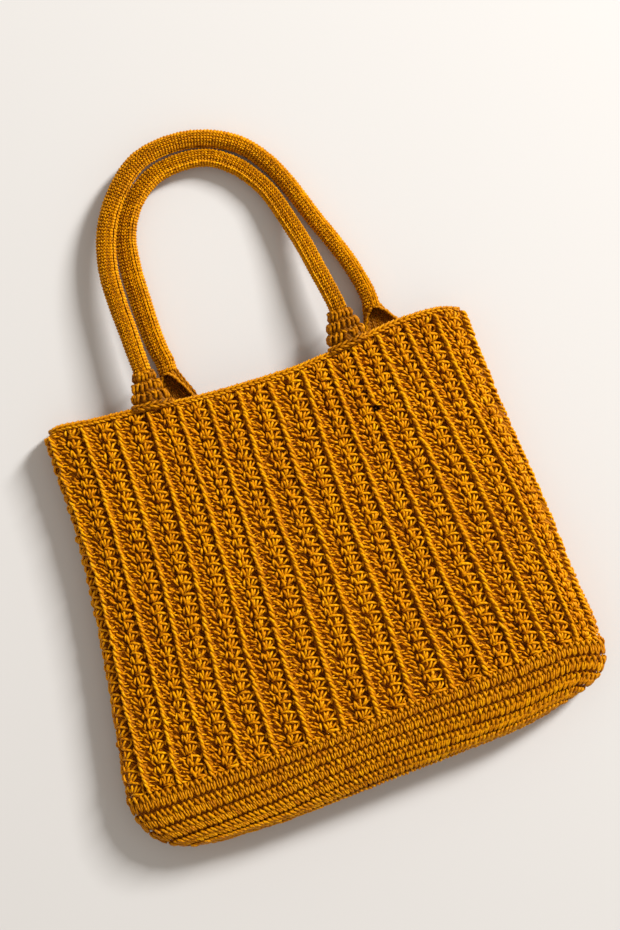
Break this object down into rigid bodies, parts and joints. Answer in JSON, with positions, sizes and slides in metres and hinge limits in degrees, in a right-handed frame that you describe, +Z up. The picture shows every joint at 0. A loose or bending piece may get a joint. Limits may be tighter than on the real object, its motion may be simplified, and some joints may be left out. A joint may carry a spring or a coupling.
{
  "type": "crocheted tote bag",
  "caption": "Flat-lying crocheted tote with ribbed sides, a plain banded oval base, an open mouth and paired knitted tube handles on flared feet.",
  "frame": {"origin": "middle of the bag's footprint, on the surface that it lies on", "axes": "+X across the bag to the right as seen from above, +Y from the base to the handles, +Z up from the surface through the back to the front"},
  "size_m": [0.3532, 0.4828, 0.0368],
  "materials": {
    "ribbed_crochet": "matte cotton yarn, raised post stitches",
    "plain_crochet": "matte cotton yarn, plain rows",
    "knitted_tube": "matte cotton yarn, fine stocking stitch"
  },
  "bodies": {
    "root": {"base": "plain_crochet", "ribbed_wall": "ribbed_crochet", "rim_edging": "plain_crochet", "foot_front_left": "plain_crochet", "foot_front_right": "plain_crochet", "foot_back_left": "plain_crochet", "foot_back_right": "plain_crochet", "handle_outer": "knitted_tube", "handle_inner": "knitted_tube"}
  },
  "joints": []
}
